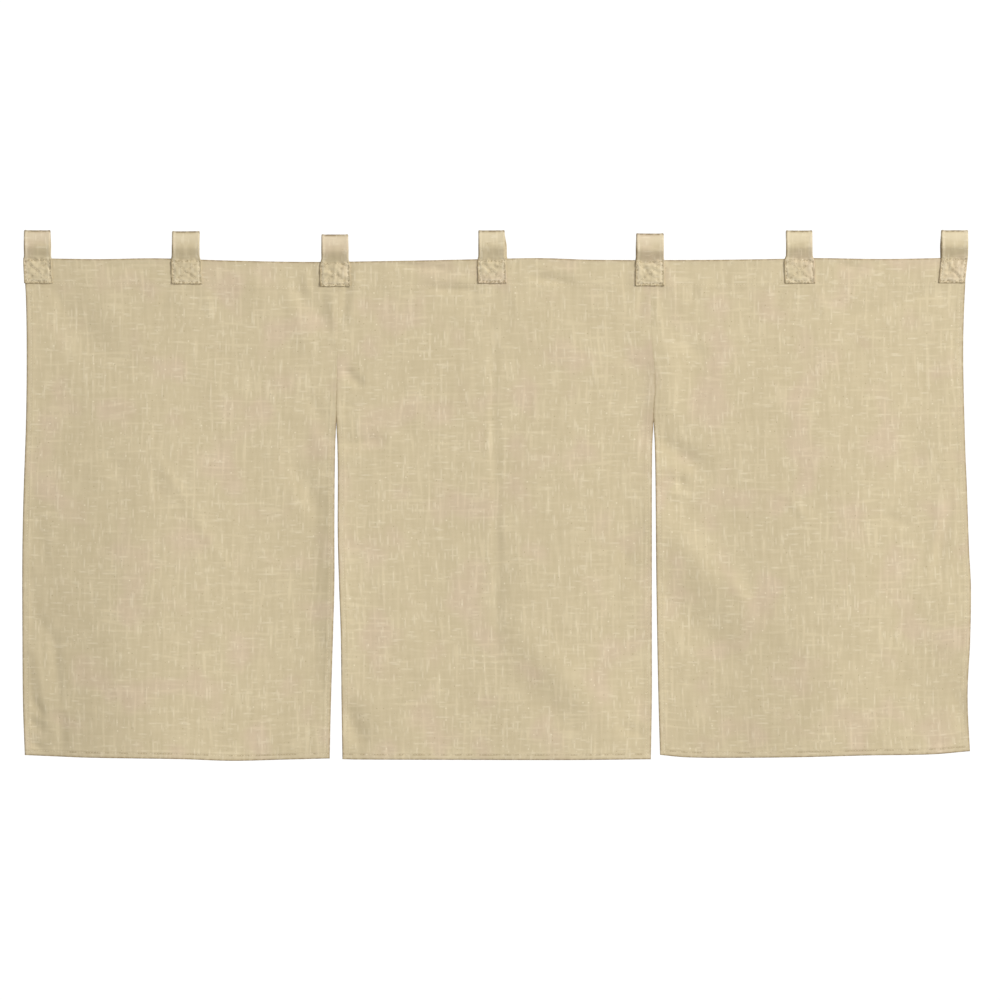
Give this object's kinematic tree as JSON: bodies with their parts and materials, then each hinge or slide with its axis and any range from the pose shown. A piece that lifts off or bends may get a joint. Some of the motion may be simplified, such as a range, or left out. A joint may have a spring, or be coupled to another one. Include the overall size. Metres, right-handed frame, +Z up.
{
  "type": "noren curtain",
  "caption": "Short split door curtain of plain slub cloth: panels seamed along the top and parted by slits below, hung from a rod by sewn tab loops.",
  "frame": {"origin": "middle of the hanging line, at the inside top of the tab loops", "axes": "+X across the curtain to the viewer's right, -Y towards the viewer in front of the cloth, +Z up"},
  "size_m": [1.0266, 0.0271, 0.5731],
  "materials": {
    "cloth": "matt slub weave in sand beige, linen look"
  },
  "bodies": {
    "root": {"panel_left": "cloth", "panel_middle": "cloth", "panel_right": "cloth", "tab_1": "cloth", "tab_2": "cloth", "tab_3": "cloth", "tab_4": "cloth", "tab_5": "cloth", "tab_6": "cloth", "tab_7": "cloth"}
  },
  "joints": []
}
